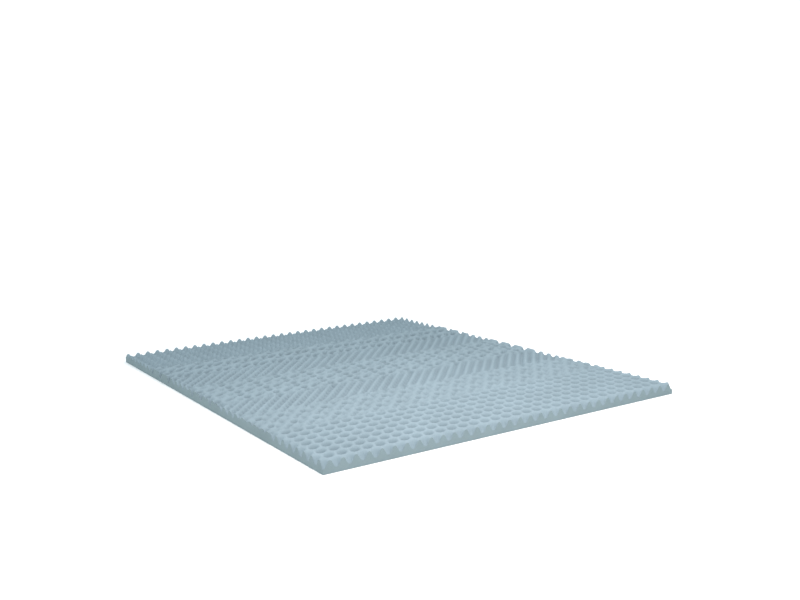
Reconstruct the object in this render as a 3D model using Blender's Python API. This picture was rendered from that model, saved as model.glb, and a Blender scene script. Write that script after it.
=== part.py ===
"""Convoluted foam mattress topper: one slab, 160 x 200 x 4.5 cm, profile-cut in seven cross bands.

Metres, +Z up. The origin is the middle of the underside, X runs across the bed and Y along it.
"""
from collections import namedtuple
from math import cos, pi

import bmesh
import bpy

# Driving dimensions
WIDTH = 1.600            # across the bed
LENGTH = 2.000           # along the bed
THICKNESS = 0.045        # underside to the crests
CUT_DEPTH = 0.027        # crest to the floor of a hollow

# The slab is cut between two profile rollers, which turn as it passes through them side first.
# The small cells fill the width exactly, and one roller turn holds thirteen of them.
SMALL_CELLS = 33
SMALL_CELLS_PER_TURN = 13
ROLLER_TURN = SMALL_CELLS_PER_TURN * WIDTH / SMALL_CELLS

# Two columns of faces to a small cell
COLUMNS = 2 * SMALL_CELLS

# A finger of a roller, at a fraction of its cell, with its half-widths in metres
Finger = namedtuple("Finger", "across along half_across half_along")

# A band: its length along the bed, its cells in one roller turn, its rows of cells and of faces,
# and whether its fingers leave knobs above the floor or hollows below the crests
Band = namedtuple("Band", "name length cells_per_turn rows face_rows knobs fingers")

FINE = (Finger(0.0, 0.0, 0.0242, 0.0253),)
STAGGERED = (
    Finger(0.0, 0.0, 0.0242, 0.0271),
    Finger(0.5, 0.5, 0.0242, 0.0271),
)
PADS = (
    Finger(0.15, 0.25, 0.026, 0.028),
    Finger(0.55, 0.68, 0.028, 0.028),
)
WIDE_PADS = (
    Finger(0.10, 0.00, 0.026, 0.024),
    Finger(0.17, 0.45, 0.026, 0.024),
    Finger(0.55, 0.55, 0.036, 0.026),
)
LOW_PADS = (
    Finger(0.18, 0.45, 0.024, 0.028),
    Finger(0.20, 0.95, 0.024, 0.026),
    Finger(0.80, 0.35, 0.026, 0.032),
)

BANDS = (
    Band("feet", 0.380, 13, 7.5, 15, False, FINE),
    Band("calves", 0.265, 7, 2.5, 10, False, PADS),
    Band("thighs", 0.190, 13, 3.5, 7, False, STAGGERED),
    Band("hips", 0.330, 5, 3.5, 12, False, WIDE_PADS),
    Band("waist", 0.190, 13, 3.5, 7, False, STAGGERED),
    Band("shoulders", 0.265, 7, 2.5, 10, False, LOW_PADS),
    Band("head", 0.380, 13, 7.5, 15, True, FINE),
)


def clear_scene():
    for old in list(bpy.data.objects):
        bpy.data.objects.remove(old, do_unlink=True)


def nearest_copy(distance, pitch):
    """Distance to the nearest of a row of like things one pitch apart."""
    return (distance + pitch / 2) % pitch - pitch / 2


def finger_print(finger, cell_across, cell_along, x, y):
    """How far a finger's print reaches at a point: 1 at its middle, 0 past its half-widths."""
    dx = nearest_copy(x - finger.across * cell_across, cell_across)
    dy = nearest_copy(y - finger.along * cell_along, cell_along)
    if abs(dx) >= finger.half_across or abs(dy) >= finger.half_along:
        return 0.0
    return (cos(pi * dx / finger.half_across / 2) * cos(pi * dy / finger.half_along / 2)) ** 2


def surface_height(band, x, y):
    """Height of the cut face of a band, with x from the slab's side and y from the band's start."""
    cell_across = ROLLER_TURN / band.cells_per_turn
    cell_along = band.length / band.rows
    prints = [finger_print(finger, cell_across, cell_along, x, y) for finger in band.fingers]
    reach = min(1.0, sum(prints))
    if band.knobs:
        return THICKNESS - CUT_DEPTH * (1.0 - reach)
    return THICKNESS - CUT_DEPTH * reach


def row_lines():
    """Band, distance from the near end and distance from the band's start, for each line of points."""
    lines = []
    band_start = 0.0
    for band in BANDS:
        step = band.length / band.face_rows
        for row in range(band.face_rows):
            lines.append((band, band_start + row * step, row * step))
        band_start += band.length
    lines.append((BANDS[-1], LENGTH, BANDS[-1].length))
    return lines


def make_material(name, colour, roughness):
    material = bpy.data.materials.new(name)
    material.use_nodes = True
    shader = material.node_tree.nodes["Principled BSDF"]
    shader.inputs["Base Color"].default_value = (*colour, 1.0)
    shader.inputs["Roughness"].default_value = roughness
    shader.inputs["Metallic"].default_value = 0.0
    return material


def band_at(y):
    """The band that holds a distance from the near end."""
    for band in BANDS:
        if y < band.length:
            return band
        y -= band.length
    return BANDS[-1]


def split_quads(bm):
    """Halve each face of the grid along its crest where fingers leave hollows, else along its floor."""
    for face in list(bm.faces):
        band = band_at(face.calc_center_median().y + LENGTH / 2)
        first, second, third, fourth = face.verts
        one_way = first.co.z + third.co.z
        other_way = second.co.z + fourth.co.z
        if (one_way > other_way) != band.knobs:
            bmesh.utils.face_split(face, first, third)
        else:
            bmesh.utils.face_split(face, second, fourth)


def make_slab(collection):
    """The whole topper: a grid carried to the cut face's heights, its rim taken down and closed."""
    lines = row_lines()
    bm = bmesh.new()
    bmesh.ops.create_grid(bm, x_segments=COLUMNS, y_segments=len(lines) - 1, size=0.5)
    for vert in bm.verts:
        across = (vert.co.x + 0.5) * WIDTH
        band, along, along_band = lines[round((vert.co.y + 0.5) * (len(lines) - 1))]
        height = surface_height(band, across, along_band)
        vert.co = (across - WIDTH / 2, along - LENGTH / 2, height)

    split_quads(bm)

    rim = [edge for edge in bm.edges if edge.is_boundary]
    walls = bmesh.ops.extrude_edge_only(bm, edges=rim)
    foot = [item for item in walls["geom"] if isinstance(item, bmesh.types.BMVert)]
    for vert in foot:
        vert.co.z = 0.0
    sole = [edge for edge in bm.edges if edge.is_boundary]
    bmesh.ops.edgeloop_fill(bm, edges=sole)

    # Each wall is flat, so only the upright edges at the slab's corners are needed
    spare = []
    for vert in foot:
        at_corner = abs(vert.co.x) > 0.499 * WIDTH and abs(vert.co.y) > 0.499 * LENGTH
        if not at_corner:
            spare.extend(edge for edge in vert.link_edges if edge.other_vert(vert).co.z > 0.0)
    bmesh.ops.dissolve_edges(bm, edges=spare, use_verts=True)
    bmesh.ops.recalc_face_normals(bm, faces=bm.faces)

    mesh = bpy.data.meshes.new("foam_slab")
    bm.to_mesh(mesh)
    bm.free()
    mesh.materials.append(make_material("pale_blue_foam", (0.44, 0.57, 0.63), 0.95))
    slab = bpy.data.objects.new("foam_slab", mesh)
    collection.objects.link(slab)
    return slab


clear_scene()
topper = bpy.data.collections.new("mattress_topper")
bpy.context.scene.collection.children.link(topper)
make_slab(topper)
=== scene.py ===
"""A convoluted foam mattress topper, 160 x 200 x 4.5 cm, lying cut face up in a pale studio."""
from collections import namedtuple
from math import cos, radians, sin

import bpy
from mathutils import Matrix, Vector


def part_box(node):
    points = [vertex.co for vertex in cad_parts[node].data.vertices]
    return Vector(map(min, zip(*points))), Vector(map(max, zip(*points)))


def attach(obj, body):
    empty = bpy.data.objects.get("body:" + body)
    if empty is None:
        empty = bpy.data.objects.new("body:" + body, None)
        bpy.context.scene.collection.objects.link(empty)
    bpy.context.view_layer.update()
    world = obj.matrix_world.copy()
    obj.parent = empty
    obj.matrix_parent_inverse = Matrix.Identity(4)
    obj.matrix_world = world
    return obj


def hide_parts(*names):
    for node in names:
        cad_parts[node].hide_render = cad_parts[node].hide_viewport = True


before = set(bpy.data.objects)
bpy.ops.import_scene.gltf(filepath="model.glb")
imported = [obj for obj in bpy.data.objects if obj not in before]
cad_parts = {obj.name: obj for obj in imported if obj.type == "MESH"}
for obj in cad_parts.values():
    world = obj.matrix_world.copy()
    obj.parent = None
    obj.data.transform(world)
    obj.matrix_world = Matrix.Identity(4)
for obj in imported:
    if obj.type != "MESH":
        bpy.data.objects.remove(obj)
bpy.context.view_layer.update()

scene = bpy.context.scene


# --------------------------------------------------------------------------------------------------
# Camera and studio
# A plain pale floor in a white room that is brightest at the horizon, and one soft panel of narrow
# spread above the near end, so that the light falls off towards the far end. The camera stands off the
# near left corner, a metre up.
# --------------------------------------------------------------------------------------------------

CAMERA_PLACE = Vector((-2.106, -3.455, 0.990))
CAMERA_LENS = 41.88                 # focal length and sensor width in millimetres
CAMERA_SENSOR = 36.0
CAMERA_HEADING = radians(33.166)    # from +Y towards +X
CAMERA_DIP = radians(9.096)         # below the horizon
CAMERA_LEAN = radians(-1.194)       # about its own axis

FLOOR_SIDE = 80.0
FLOOR_COLOUR = (0.92, 0.92, 0.92, 1.0)
FLOOR_ROUGHNESS = 0.9
FLOOR_GLOSS = 0.0

ROOM_COLOUR = (0.920, 1.000, 1.030, 1.0)
ROOM_OVERHEAD = 1.09                # brightness of the room straight up
ROOM_LEVEL = 1.51                   # and at the horizon

PANEL_PLACE = Vector((-0.2, -1.3, 2.4))
PANEL_TARGET = Vector((-0.1, -1.0, 0.0))
PANEL_SIDE = 1.6
PANEL_SPREAD = radians(100.0)
PANEL_WATTS = 22.0
PANEL_COLOUR = (1.000, 0.886, 0.857)


def add_node(tree, kind, inputs=None, **settings):
    """A node with its settings made, and each input in the dictionary linked or given its value."""
    node = tree.nodes.new(kind)
    for name, value in settings.items():
        setattr(node, name, value)
    for socket, value in (inputs or {}).items():
        if isinstance(value, bpy.types.NodeSocket):
            tree.links.new(value, node.inputs[socket])
        else:
            node.inputs[socket].default_value = value
    return node


def aim_camera():
    """The camera, turned by its heading, then its dip, then its lean."""
    level_ahead = Vector((sin(CAMERA_HEADING), cos(CAMERA_HEADING), 0.0))
    ahead = cos(CAMERA_DIP) * level_ahead - sin(CAMERA_DIP) * Vector((0.0, 0.0, 1.0))
    level_right = Vector((cos(CAMERA_HEADING), -sin(CAMERA_HEADING), 0.0))
    level_up = level_right.cross(ahead)
    right = cos(CAMERA_LEAN) * level_right + sin(CAMERA_LEAN) * level_up
    up = cos(CAMERA_LEAN) * level_up - sin(CAMERA_LEAN) * level_right
    data = bpy.data.cameras.new("camera")
    data.sensor_width = CAMERA_SENSOR
    data.lens = CAMERA_LENS
    camera = bpy.data.objects.new("camera", data)
    turn = Matrix((right, up, -ahead)).transposed().to_4x4()
    camera.matrix_world = Matrix.Translation(CAMERA_PLACE) @ turn
    scene.collection.objects.link(camera)
    scene.camera = camera


def lay_floor():
    """The pale matt floor, which is not part of the topper."""
    bpy.ops.mesh.primitive_plane_add(size=FLOOR_SIDE, location=(0.0, 0.0, 0.0))
    floor = bpy.context.object
    floor.name = "floor"
    paint = bpy.data.materials.new("pale_floor")
    paint.use_nodes = True
    shader = paint.node_tree.nodes["Principled BSDF"]
    shader.inputs["Base Color"].default_value = FLOOR_COLOUR
    shader.inputs["Roughness"].default_value = FLOOR_ROUGHNESS
    shader.inputs["Specular IOR Level"].default_value = FLOOR_GLOSS
    floor.data.materials.append(paint)


def light_studio():
    """The room, shaded from the horizon up, and the panel over the near end."""
    scene.view_settings.view_transform = "Standard"
    room = bpy.data.worlds.new("studio")
    room.use_nodes = True
    tree = room.node_tree
    background = tree.nodes["Background"]
    background.inputs["Color"].default_value = ROOM_COLOUR
    direction = add_node(tree, "ShaderNodeTexCoord").outputs["Generated"]
    height = add_node(tree, "ShaderNodeSeparateXYZ", {0: direction}).outputs["Z"]
    strength = add_node(
        tree, "ShaderNodeMapRange", {"Value": height, "To Min": ROOM_LEVEL, "To Max": ROOM_OVERHEAD})
    tree.links.new(strength.outputs["Result"], background.inputs["Strength"])
    scene.world = room

    data = bpy.data.lights.new("panel", "AREA")
    data.size = PANEL_SIDE
    data.energy = PANEL_WATTS
    data.color = PANEL_COLOUR
    data.spread = PANEL_SPREAD
    panel = bpy.data.objects.new("panel", data)
    panel.location = PANEL_PLACE
    panel.rotation_euler = (PANEL_PLACE - PANEL_TARGET).to_track_quat("Z", "Y").to_euler()
    panel.visible_camera = False
    scene.collection.objects.link(panel)


aim_camera()
light_studio()
lay_floor()


# --------------------------------------------------------------------------------------------------
# The foam slab
# One slab of soft open-cell foam, cut from block between two profile rollers whose fingers press hollows
# into it as the blade passes, so that the freed face springs back as seven bands of hollows, pads and
# knobs. Its four sides are trimmed square afterwards. It has no cover and nothing is fixed to it.
# --------------------------------------------------------------------------------------------------

slab_low, slab_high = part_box("foam_slab")
SLAB_WIDTH = slab_high[0] - slab_low[0]
SLAB_LENGTH = slab_high[1] - slab_low[1]
SLAB_THICKNESS = slab_high[2] - slab_low[2]
CUT_DEPTH = 0.027                   # from the crests to the floor of a hollow
WAVER_DEPTH = 0.0008                # how far the blade strays in soft foam
WAVER_SCALE = 22.0                  # per metre
WAVER_DETAIL = 3.0
WAVER_SEED = 4.0

# The small cells fill the width exactly, and one turn of a roller holds thirteen of them
SMALL_CELLS = 33
SMALL_CELLS_PER_TURN = 13
SMALL_CELL = SLAB_WIDTH / SMALL_CELLS
ROLLER_TURN = SMALL_CELLS_PER_TURN * SMALL_CELL

# A roller finger: its place as fractions of the cell, how far it leaves the foam up (or, with a minus,
# down) as a share of the cut, its half-length across and along the bed in metres, its turn in degrees
# from +Y towards +X, and the part of it that is flat
Finger = namedtuple("Finger", "across along rise half_across half_along turn flat")

# A band: its length along the bed, its cells in one roller turn, its rows of cells, the level that its
# fingers start from (0 is the floor and 1 the crests), and the fingers
Band = namedtuple("Band", "name length cells_per_turn rows level fingers")

FINE_HOLLOWS = (
    Finger(0.00, 0.00, -0.95, 0.0192, 0.0285, 42.0, 0.15),
)
FINE_KNOBS = (
    Finger(0.12, 0.00, 0.80, 0.0215, 0.0300, 20.0, 0.05),
)
STAGGERED = (
    Finger(0.00, 0.00, -0.80, 0.0155, 0.0250, 30.0, 0.12),
    Finger(0.50, 0.50, -0.80, 0.0155, 0.0250, 30.0, 0.12),
)
PADS = (
    Finger(0.10, 0.42, -0.60, 0.012, 0.022, 30.0, 0.20),
    Finger(0.12, 0.06, -0.60, 0.012, 0.022, 30.0, 0.20),
    Finger(0.47, 0.72, -0.88, 0.013, 0.026, 30.0, 0.25),
    Finger(0.70, 0.60, -0.65, 0.012, 0.025, 30.0, 0.20),
    Finger(0.84, 0.20, -0.45, 0.012, 0.024, 30.0, 0.20),
    Finger(0.42, 0.22, -0.35, 0.014, 0.032, 35.0, 0.00),
    Finger(0.95, 0.75, -0.35, 0.014, 0.032, 35.0, 0.00),
)
WIDE_PADS = (
    Finger(0.05, 0.98, -0.95, 0.014, 0.028, 30.0, 0.35),
    Finger(0.12, 0.48, -0.95, 0.014, 0.030, 30.0, 0.35),
    Finger(0.57, 0.55, -0.90, 0.014, 0.048, 50.0, 0.20),
    Finger(0.42, 0.05, -0.50, 0.013, 0.028, 40.0, 0.10),
    Finger(0.82, 0.28, -0.50, 0.013, 0.028, 30.0, 0.10),
    Finger(0.76, 0.85, -0.35, 0.013, 0.024, 30.0, 0.00),
)
LOW_PADS = (
    Finger(0.16, 0.45, -0.92, 0.014, 0.032, 35.0, 0.30),
    Finger(0.20, 0.95, -0.92, 0.014, 0.026, 20.0, 0.30),
    Finger(0.91, 0.26, -0.92, 0.014, 0.030, 35.0, 0.30),
    Finger(0.68, 0.50, -0.80, 0.013, 0.046, 35.0, 0.20),
    Finger(0.45, 0.05, -0.50, 0.013, 0.030, 35.0, 0.10),
)

BANDS = (
    Band("feet", 0.380, 13, 7.5, 0.98, FINE_HOLLOWS),
    Band("calves", 0.265, 7, 2.5, 0.92, PADS),
    Band("thighs", 0.190, 13, 3.5, 0.90, STAGGERED),
    Band("hips", 0.330, 5, 3.5, 0.94, WIDE_PADS),
    Band("waist", 0.190, 13, 3.5, 0.90, STAGGERED),
    Band("shoulders", 0.265, 7, 2.5, 0.96, LOW_PADS),
    Band("head", 0.380, 13, 7.5, 0.20, FINE_KNOBS),
)
BAND_JOIN = 0.020                   # one band's profile runs into the next over this length

# The mesh has eight faces to a small cell each way
FACES_PER_CELL = 8
MESH_COLUMNS = FACES_PER_CELL * SMALL_CELLS
MESH_ROWS = round(FACES_PER_CELL * SLAB_LENGTH * BANDS[0].rows / BANDS[0].length)
WELD_REACH = 0.0001

FOAM_COLOUR = (0.224, 0.290, 0.328)
SIDE_PAINTED_SHADE = (0.88, 0.88, 0.83)  # painted shade: how much darker the four upright sides are painted, a little more so in blue
MOTTLE_SCALE = 9.0                  # per metre
MOTTLE_DETAIL = 4.0
MOTTLE_STOPS = ((0.3, 0.95), (0.7, 1.04))   # place on the ramp, and share of the foam's colour
PORES_PER_METRE = 700.0
PORE_PAINTED_SHADES = (0.9, 1.05)           # painted shade: share of the colour in a pore's hollow middle, where shade falls, and on its rim
PORE_DEPTH = 0.0006
PORE_STRENGTH = 0.4
FOAM_ROUGHNESS = 0.95
FOAM_GLOSS = 0.15


def finger_group():
    """Nodes for the print of one row of like fingers: 1 at a finger's middle, 0 past its rim."""
    tree = bpy.data.node_groups.new("finger_print", "GeometryNodeTree")
    for name, kind in (
        ("Place", "NodeSocketVector"),
        ("Cell", "NodeSocketVector"),
        ("Middle", "NodeSocketVector"),
        ("Half Size", "NodeSocketVector"),
        ("Turn", "NodeSocketFloat"),
        ("Flat", "NodeSocketFloat"),
    ):
        tree.interface.new_socket(name, in_out="INPUT", socket_type=kind)
    tree.interface.new_socket("Print", in_out="OUTPUT", socket_type="NodeSocketFloat")
    given = tree.nodes.new("NodeGroupInput").outputs
    from_middle = add_node(
        tree, "ShaderNodeVectorMath", {0: given["Place"], 1: given["Middle"]}, operation="SUBTRACT")
    half_cell = add_node(
        tree, "ShaderNodeVectorMath", {0: given["Cell"], "Scale": 0.5}, operation="SCALE")
    minus_half = add_node(
        tree, "ShaderNodeVectorMath", {0: given["Cell"], "Scale": -0.5}, operation="SCALE")
    nearest = add_node(
        tree, "ShaderNodeVectorMath",
        {0: from_middle.outputs[0], 1: half_cell.outputs[0], 2: minus_half.outputs[0]},
        operation="WRAP")
    turned = add_node(
        tree, "ShaderNodeVectorRotate", {"Vector": nearest.outputs[0], "Angle": given["Turn"]},
        rotation_type="Z_AXIS")
    in_sizes = add_node(
        tree, "ShaderNodeVectorMath", {0: turned.outputs[0], 1: given["Half Size"]},
        operation="DIVIDE")
    reach = add_node(tree, "ShaderNodeVectorMath", {0: in_sizes.outputs[0]}, operation="LENGTH")
    press = add_node(
        tree, "ShaderNodeMapRange",
        {"Value": reach.outputs["Value"], "From Min": given["Flat"], "From Max": 1.0, "To Min": 1.0,
         "To Max": 0.0},
        interpolation_type="SMOOTHSTEP")
    out = tree.nodes.new("NodeGroupOutput")
    tree.links.new(press.outputs["Result"], out.inputs["Print"])
    return tree


def band_profile(tree, print_nodes, band, place):
    """Nodes for a band's cut face, 0 at the floor and 1 at the crests, placed from its near left corner."""
    cell = (ROLLER_TURN / band.cells_per_turn, band.length / band.rows, 0.0)
    profile = band.level
    for finger in band.fingers:
        mark = add_node(
            tree, "GeometryNodeGroup",
            {"Place": place, "Cell": cell,
             "Middle": (finger.across * cell[0], finger.along * cell[1], 0.0),
             "Half Size": (finger.half_across, finger.half_along, 1.0),
             "Turn": radians(finger.turn), "Flat": finger.flat},
            node_tree=print_nodes)
        profile = add_node(
            tree, "ShaderNodeMath", {0: mark.outputs["Print"], 1: finger.rise, 2: profile},
            operation="MULTIPLY_ADD").outputs[0]
    return add_node(tree, "ShaderNodeClamp", {"Value": profile}, label=band.name).outputs[0]


def slab_tree():
    """Geometry Nodes for the slab: a grid lifted to the cut face, its rim taken down, and a sole."""
    tree = bpy.data.node_groups.new("profile_cut_slab", "GeometryNodeTree")
    for name, kind in (
        ("Width", "NodeSocketFloat"),
        ("Length", "NodeSocketFloat"),
        ("Thickness", "NodeSocketFloat"),
        ("Cut Depth", "NodeSocketFloat"),
        ("Columns", "NodeSocketInt"),
        ("Rows", "NodeSocketInt"),
        ("Unevenness", "NodeSocketFloat"),
        ("Seed", "NodeSocketFloat"),
        ("Foam", "NodeSocketMaterial"),
    ):
        tree.interface.new_socket(name, in_out="INPUT", socket_type=kind)
    tree.interface.new_socket("Geometry", in_out="OUTPUT", socket_type="NodeSocketGeometry")
    given = tree.nodes.new("NodeGroupInput").outputs

    points_across = add_node(tree, "ShaderNodeMath", {0: given["Columns"], 1: 1.0}, operation="ADD")
    points_along = add_node(tree, "ShaderNodeMath", {0: given["Rows"], 1: 1.0}, operation="ADD")
    grid = add_node(
        tree, "GeometryNodeMeshGrid",
        {"Size X": given["Width"], "Size Y": given["Length"], "Vertices X": points_across.outputs[0],
         "Vertices Y": points_along.outputs[0]})

    # Places are measured from the near left corner of each band
    middle = add_node(tree, "GeometryNodeInputPosition")
    corner = add_node(
        tree, "ShaderNodeCombineXYZ", {"X": given["Width"], "Y": given["Length"], "Z": 0.0})
    half_slab = add_node(
        tree, "ShaderNodeVectorMath", {0: corner.outputs[0], "Scale": 0.5}, operation="SCALE")
    from_corner = add_node(
        tree, "ShaderNodeVectorMath", {0: middle.outputs[0], 1: half_slab.outputs[0]}, operation="ADD")
    along = add_node(tree, "ShaderNodeSeparateXYZ", {0: from_corner.outputs[0]})

    print_nodes = finger_group()
    profile = None
    band_start = 0.0
    for band in BANDS:
        from_band = add_node(
            tree, "ShaderNodeVectorMath", {0: from_corner.outputs[0], 1: (0.0, band_start, 0.0)},
            operation="SUBTRACT")
        level = band_profile(tree, print_nodes, band, from_band.outputs[0])
        if profile is None:
            profile = level
        else:
            share = add_node(
                tree, "ShaderNodeMapRange",
                {"Value": along.outputs["Y"], "From Min": band_start - BAND_JOIN / 2,
                 "From Max": band_start + BAND_JOIN / 2},
                interpolation_type="SMOOTHSTEP")
            blended = add_node(
                tree, "ShaderNodeMix",
                {"Factor": share.outputs["Result"], "A": profile, "B": level}, data_type="FLOAT")
            profile = blended.outputs["Result"]
        band_start += band.length

    # Height: the floor of the hollows, the cut above it, and the small waver of a blade in soft foam
    floor_level = add_node(
        tree, "ShaderNodeMath", {0: given["Thickness"], 1: given["Cut Depth"]}, operation="SUBTRACT")
    cut = add_node(
        tree, "ShaderNodeMath", {0: profile, 1: given["Cut Depth"], 2: floor_level.outputs[0]},
        operation="MULTIPLY_ADD")
    waver = add_node(
        tree, "ShaderNodeTexNoise",
        {"Scale": WAVER_SCALE, "Detail": WAVER_DETAIL, "W": given["Seed"]}, noise_dimensions="4D")
    drop = add_node(
        tree, "ShaderNodeMath", {0: waver.outputs[0], 1: given["Unevenness"]}, operation="MULTIPLY")
    height = add_node(
        tree, "ShaderNodeMath", {0: cut.outputs[0], 1: drop.outputs[0]}, operation="SUBTRACT")
    lift = add_node(tree, "ShaderNodeCombineXYZ", {"Z": height.outputs[0]})
    face = add_node(
        tree, "GeometryNodeSetPosition",
        {"Geometry": grid.outputs["Mesh"], "Offset": lift.outputs[0]})

    # Sides: the rim extruded and set down to the ground, and the loop that it leaves filled as the sole
    neighbours = add_node(tree, "GeometryNodeInputMeshEdgeNeighbors")
    rim = add_node(
        tree, "FunctionNodeCompare", {2: neighbours.outputs[0], 3: 1},
        data_type="INT", operation="EQUAL")
    sides = add_node(
        tree, "GeometryNodeExtrudeMesh",
        {"Mesh": face.outputs[0], "Selection": rim.outputs[0], "Offset Scale": 0.0}, mode="EDGES")
    spot = add_node(tree, "GeometryNodeInputPosition")
    on_ground = add_node(
        tree, "ShaderNodeVectorMath", {0: spot.outputs[0], 1: (1.0, 1.0, 0.0)}, operation="MULTIPLY")
    walled = add_node(
        tree, "GeometryNodeSetPosition",
        {"Geometry": sides.outputs["Mesh"], "Selection": sides.outputs["Top"],
         "Position": on_ground.outputs[0]})
    foot = add_node(
        tree, "GeometryNodeMeshToCurve",
        {"Mesh": walled.outputs[0], "Selection": sides.outputs["Top"]})
    sole = add_node(tree, "GeometryNodeFillCurve", {"Curve": foot.outputs[0]}, mode="NGONS")

    # The cut face is smooth, and the trimmed sides and the sole are flat and meet it at sharp edges
    # The sides are marked as trimmed, so that the foam can paint shade on them
    marked_sides = add_node(
        tree, "GeometryNodeStoreNamedAttribute",
        {"Geometry": walled.outputs[0], "Name": "trimmed", "Value": sides.outputs["Side"]},
        data_type="FLOAT", domain="FACE")
    on_cut_face = add_node(
        tree, "FunctionNodeBooleanMath", {0: sides.outputs["Side"]}, operation="NOT")
    smooth_face = add_node(
        tree, "GeometryNodeSetShadeSmooth",
        {"Geometry": marked_sides.outputs[0], "Shade Smooth": on_cut_face.outputs[0]}, domain="FACE")
    flat_sole = add_node(
        tree, "GeometryNodeSetShadeSmooth", {"Geometry": sole.outputs[0], "Shade Smooth": False},
        domain="FACE")
    joined = tree.nodes.new("GeometryNodeJoinGeometry")
    tree.links.new(flat_sole.outputs[0], joined.inputs[0])
    tree.links.new(smooth_face.outputs[0], joined.inputs[0])
    welded = add_node(
        tree, "GeometryNodeMergeByDistance",
        {"Geometry": joined.outputs[0], "Distance": WELD_REACH})
    whole = add_node(tree, "GeometryNodeRealizeInstances", {"Geometry": welded.outputs[0]})
    finished = add_node(
        tree, "GeometryNodeSetMaterial", {"Geometry": whole.outputs[0], "Material": given["Foam"]})
    out = tree.nodes.new("NodeGroupOutput")
    tree.links.new(finished.outputs[0], out.inputs["Geometry"])
    return tree


def foam_material():
    """Pale grey-blue open-cell foam: matt, faintly mottled, and pitted all over with fine pores, with
    painted shade in the pores and on the four upright sides.
    """
    foam = bpy.data.materials.new("grey_blue_foam")
    foam.use_nodes = True
    tree = foam.node_tree
    shader = tree.nodes["Principled BSDF"]
    place = add_node(tree, "ShaderNodeTexCoord").outputs["Object"]
    mottle = add_node(
        tree, "ShaderNodeTexNoise", {"Vector": place, "Scale": MOTTLE_SCALE, "Detail": MOTTLE_DETAIL})
    tone = add_node(tree, "ShaderNodeValToRGB", {"Fac": mottle.outputs[0]})
    for stop, (position, share) in zip(tone.color_ramp.elements, MOTTLE_STOPS):
        stop.position = position
        stop.color = (*[share * part for part in FOAM_COLOUR], 1.0)
    pores = add_node(tree, "ShaderNodeTexVoronoi", {"Vector": place, "Scale": PORES_PER_METRE})
    # Painted shade in the pores: each pore is darker towards its sunken middle and a little lighter on its
    # rim
    pore_shade = add_node(
        tree, "ShaderNodeMapRange",
        {"Value": pores.outputs["Distance"], "To Min": PORE_PAINTED_SHADES[0], "To Max": PORE_PAINTED_SHADES[1]})
    colour = add_node(
        tree, "ShaderNodeVectorMath", {0: tone.outputs[0], "Scale": pore_shade.outputs[0]},
        operation="SCALE")
    # Painted shade: the four upright sides, marked as trimmed by the slab's nodes, are painted darker than
    # the cut face
    trimmed = add_node(tree, "ShaderNodeAttribute", attribute_name="trimmed")
    painted_side_shade = add_node(
        tree, "ShaderNodeMix",
        {"Factor": trimmed.outputs["Fac"], "A": (1.0, 1.0, 1.0, 1.0), "B": (*SIDE_PAINTED_SHADE, 1.0)},
        data_type="RGBA")
    shade = add_node(
        tree, "ShaderNodeVectorMath", {0: colour.outputs[0], 1: painted_side_shade.outputs["Result"]},
        operation="MULTIPLY")
    tree.links.new(shade.outputs[0], shader.inputs["Base Color"])
    bump = add_node(
        tree, "ShaderNodeBump",
        {"Height": pores.outputs["Distance"], "Strength": PORE_STRENGTH, "Distance": PORE_DEPTH})
    tree.links.new(bump.outputs[0], shader.inputs["Normal"])
    shader.inputs["Roughness"].default_value = FOAM_ROUGHNESS
    shader.inputs["Specular IOR Level"].default_value = FOAM_GLOSS
    return foam


def cut_slab():
    """The slab as one plain mesh, made by its Geometry Nodes with the sizes given above."""
    tree = slab_tree()
    maker = bpy.data.objects.new("slab_maker", bpy.data.meshes.new("slab_maker"))
    scene.collection.objects.link(maker)
    nodes = maker.modifiers.new("profile_cut", "NODES")
    nodes.node_group = tree
    values = {
        "Width": SLAB_WIDTH,
        "Length": SLAB_LENGTH,
        "Thickness": SLAB_THICKNESS,
        "Cut Depth": CUT_DEPTH,
        "Columns": MESH_COLUMNS,
        "Rows": MESH_ROWS,
        "Unevenness": WAVER_DEPTH,
        "Seed": WAVER_SEED,
        "Foam": foam_material(),
    }
    for item in tree.interface.items_tree:
        if item.in_out == "INPUT":
            nodes[item.identifier] = values[item.name]
    shown = maker.evaluated_get(bpy.context.evaluated_depsgraph_get())
    mesh = bpy.data.meshes.new_from_object(shown)
    mesh.name = "foam_slab_cut"
    bpy.data.objects.remove(maker, do_unlink=True)
    slab = bpy.data.objects.new("foam_slab_cut", mesh)
    scene.collection.objects.link(slab)
    return slab


slab = cut_slab()
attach(slab, "root")
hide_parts("foam_slab")
